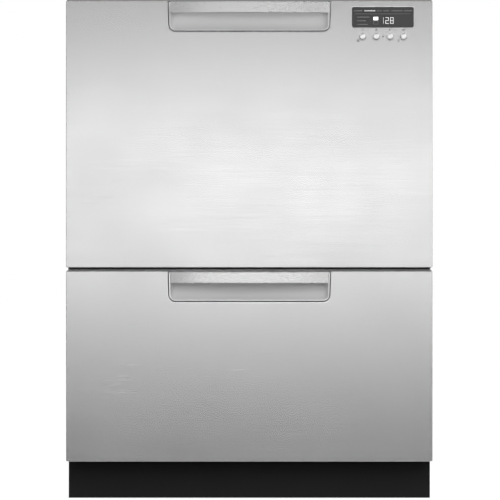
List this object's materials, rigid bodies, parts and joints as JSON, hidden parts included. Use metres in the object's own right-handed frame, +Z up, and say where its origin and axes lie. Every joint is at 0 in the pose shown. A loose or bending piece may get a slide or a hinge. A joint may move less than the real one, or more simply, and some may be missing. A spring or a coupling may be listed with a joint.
{
  "type": "two-drawer dishwasher",
  "caption": "Dishwasher with stacked pull-out wash drawers behind brushed steel fronts with scooped bar handles, on telescopic runners with lifting lids.",
  "frame": {"origin": "on the floor, under the middle of the whole unit, handle bars included", "axes": "+Z up, the drawer fronts face -Y and the drawers open towards -Y, +X to the right seen from the front"},
  "size_m": [0.599, 0.585, 0.82],
  "materials": {
    "front_steel": "horizontally brushed",
    "handle_steel": "brushed along the bar",
    "zinc_sheet": "zinc coated sheet",
    "kick_paint": "dark satin paint",
    "tub_plastic": "moulded polypropylene",
    "lid_plastic": "moulded",
    "black_plastic": "fine grain",
    "grey_plastic": "fine grain",
    "filter_steel": "perforated sheet",
    "wire_coating": "nylon coated wire",
    "seal_rubber": "matt",
    "window_plastic": "smoked gloss",
    "button_chrome": "domed, satin",
    "runner_zinc": "bright zinc",
    "brass_body": "cast"
  },
  "bodies": {
    "cabinet": {"cabinet_left_side": "zinc_sheet", "cabinet_right_side": "zinc_sheet", "cabinet_back": "zinc_sheet", "cabinet_roof": "zinc_sheet", "mid_rail": "zinc_sheet", "base_tray": "zinc_sheet", "kickboard": "kick_paint", "inlet_valve": "brass_body", "drain_spigot": "black_plastic", "power_gland": "black_plastic", "lower_left_runner_outer": "runner_zinc", "lower_right_runner_outer": "runner_zinc", "upper_left_runner_outer": "runner_zinc", "upper_right_runner_outer": "runner_zinc"},
    "lower_drawer": {"lower_front_panel": "front_steel", "lower_handle_recess": "front_steel", "lower_handle_bar": "handle_steel", "lower_tub": "tub_plastic", "lower_wash_motor": "black_plastic", "lower_filter_plate": "filter_steel", "lower_basket": "wire_coating", "lower_cutlery_basket": "grey_plastic", "lower_dispenser": "grey_plastic", "lower_left_runner_inner": "runner_zinc", "lower_right_runner_inner": "runner_zinc"},
    "upper_drawer": {"upper_front_panel": "front_steel", "upper_handle_recess": "front_steel", "upper_handle_bar": "handle_steel", "upper_tub": "tub_plastic", "upper_wash_motor": "black_plastic", "upper_filter_plate": "filter_steel", "upper_basket": "wire_coating", "upper_cutlery_basket": "grey_plastic", "upper_dispenser": "grey_plastic", "upper_left_runner_inner": "runner_zinc", "upper_right_runner_inner": "runner_zinc", "display_window": "window_plastic", "control_module": "black_plastic"},
    "lower_left_runner": {"lower_left_runner_middle": "runner_zinc"},
    "lower_right_runner": {"lower_right_runner_middle": "runner_zinc"},
    "lower_lid": {"lower_lid": "lid_plastic", "lower_lid_seal": "seal_rubber"},
    "lower_spray_arm": {"lower_spray_arm": "grey_plastic"},
    "lower_cup_rack": {"lower_cup_rack": "grey_plastic"},
    "lower_dispenser_door": {"lower_dispenser_door": "lid_plastic"},
    "upper_left_runner": {"upper_left_runner_middle": "runner_zinc"},
    "upper_right_runner": {"upper_right_runner_middle": "runner_zinc"},
    "upper_lid": {"upper_lid": "lid_plastic", "upper_lid_seal": "seal_rubber"},
    "upper_spray_arm": {"upper_spray_arm": "grey_plastic"},
    "upper_cup_rack": {"upper_cup_rack": "grey_plastic"},
    "upper_dispenser_door": {"upper_dispenser_door": "lid_plastic"},
    "button_1": {"button_1": "button_chrome"},
    "button_2": {"button_2": "button_chrome"},
    "button_3": {"button_3": "button_chrome"},
    "button_4": {"button_4": "button_chrome"},
    "foot_front_left": {"foot_front_left": "black_plastic"},
    "foot_front_right": {"foot_front_right": "black_plastic"},
    "foot_rear_left": {"foot_rear_left": "black_plastic"},
    "foot_rear_right": {"foot_rear_right": "black_plastic"}
  },
  "joints": [
    {"name": "lower_drawer_slide", "type": "slide", "parent": "cabinet", "child": "lower_drawer", "axis": [0, -1, 0], "range_m": [0, 0.48]},
    {"name": "lower_left_runner_slide", "type": "slide", "parent": "cabinet", "child": "lower_left_runner", "axis": [0, -1, 0], "range_m": [0, 0.24]},
    {"name": "lower_right_runner_slide", "type": "slide", "parent": "cabinet", "child": "lower_right_runner", "axis": [0, -1, 0], "range_m": [0, 0.24]},
    {"name": "lower_lid_lift", "type": "slide", "parent": "cabinet", "child": "lower_lid", "axis": [0, 0, 1], "range_m": [0, 0.008]},
    {"name": "lower_spray_arm_spin", "type": "hinge", "parent": "lower_drawer", "child": "lower_spray_arm", "pos_m": [0, -0.0117, 0.1605], "axis": [0, 0, 1], "continuous": true},
    {"name": "lower_cup_rack_hinge", "type": "hinge", "parent": "lower_drawer", "child": "lower_cup_rack", "pos_m": [-0.2635, -0.0117, 0.2755], "axis": [0, -1, 0], "range_deg": [0, 90]},
    {"name": "lower_dispenser_door_hinge", "type": "hinge", "parent": "lower_drawer", "child": "lower_dispenser_door", "pos_m": [-0.102, -0.23, 0.302], "axis": [-1, 0, 0], "range_deg": [0, 85]},
    {"name": "upper_drawer_slide", "type": "slide", "parent": "cabinet", "child": "upper_drawer", "axis": [0, -1, 0], "range_m": [0, 0.48]},
    {"name": "upper_left_runner_slide", "type": "slide", "parent": "cabinet", "child": "upper_left_runner", "axis": [0, -1, 0], "range_m": [0, 0.24]},
    {"name": "upper_right_runner_slide", "type": "slide", "parent": "cabinet", "child": "upper_right_runner", "axis": [0, -1, 0], "range_m": [0, 0.24]},
    {"name": "upper_lid_lift", "type": "slide", "parent": "cabinet", "child": "upper_lid", "axis": [0, 0, 1], "range_m": [0, 0.008]},
    {"name": "upper_spray_arm_spin", "type": "hinge", "parent": "upper_drawer", "child": "upper_spray_arm", "pos_m": [0, -0.0117, 0.5315], "axis": [0, 0, 1], "continuous": true},
    {"name": "upper_cup_rack_hinge", "type": "hinge", "parent": "upper_drawer", "child": "upper_cup_rack", "pos_m": [-0.2635, -0.0117, 0.6465], "axis": [0, -1, 0], "range_deg": [0, 90]},
    {"name": "upper_dispenser_door_hinge", "type": "hinge", "parent": "upper_drawer", "child": "upper_dispenser_door", "pos_m": [-0.102, -0.23, 0.673], "axis": [-1, 0, 0], "range_deg": [0, 85]},
    {"name": "button_1_press", "type": "slide", "parent": "upper_drawer", "child": "button_1", "axis": [0, 1, 0], "range_m": [0, 0.001], "stiffness_N_per_m": 500},
    {"name": "button_2_press", "type": "slide", "parent": "upper_drawer", "child": "button_2", "axis": [0, 1, 0], "range_m": [0, 0.001], "stiffness_N_per_m": 500},
    {"name": "button_3_press", "type": "slide", "parent": "upper_drawer", "child": "button_3", "axis": [0, 1, 0], "range_m": [0, 0.001], "stiffness_N_per_m": 500},
    {"name": "button_4_press", "type": "slide", "parent": "upper_drawer", "child": "button_4", "axis": [0, 1, 0], "range_m": [0, 0.001], "stiffness_N_per_m": 500},
    {"name": "foot_front_left_turn", "type": "hinge", "parent": "cabinet", "child": "foot_front_left", "pos_m": [-0.2635, -0.1662, 0.02], "axis": [0, 0, 1], "continuous": true},
    {"name": "foot_front_right_turn", "type": "hinge", "parent": "cabinet", "child": "foot_front_right", "pos_m": [0.2635, -0.1662, 0.02], "axis": [0, 0, 1], "continuous": true},
    {"name": "foot_rear_left_turn", "type": "hinge", "parent": "cabinet", "child": "foot_rear_left", "pos_m": [-0.2635, 0.1985, 0.02], "axis": [0, 0, 1], "continuous": true},
    {"name": "foot_rear_right_turn", "type": "hinge", "parent": "cabinet", "child": "foot_rear_right", "pos_m": [0.2635, 0.1985, 0.02], "axis": [0, 0, 1], "continuous": true}
  ],
  "couplings": [
    {"joint": "lower_left_runner_slide", "follows": "lower_drawer_slide", "ratio": 0.5},
    {"joint": "lower_right_runner_slide", "follows": "lower_drawer_slide", "ratio": 0.5},
    {"joint": "upper_left_runner_slide", "follows": "upper_drawer_slide", "ratio": 0.5},
    {"joint": "upper_right_runner_slide", "follows": "upper_drawer_slide", "ratio": 0.5}
  ]
}
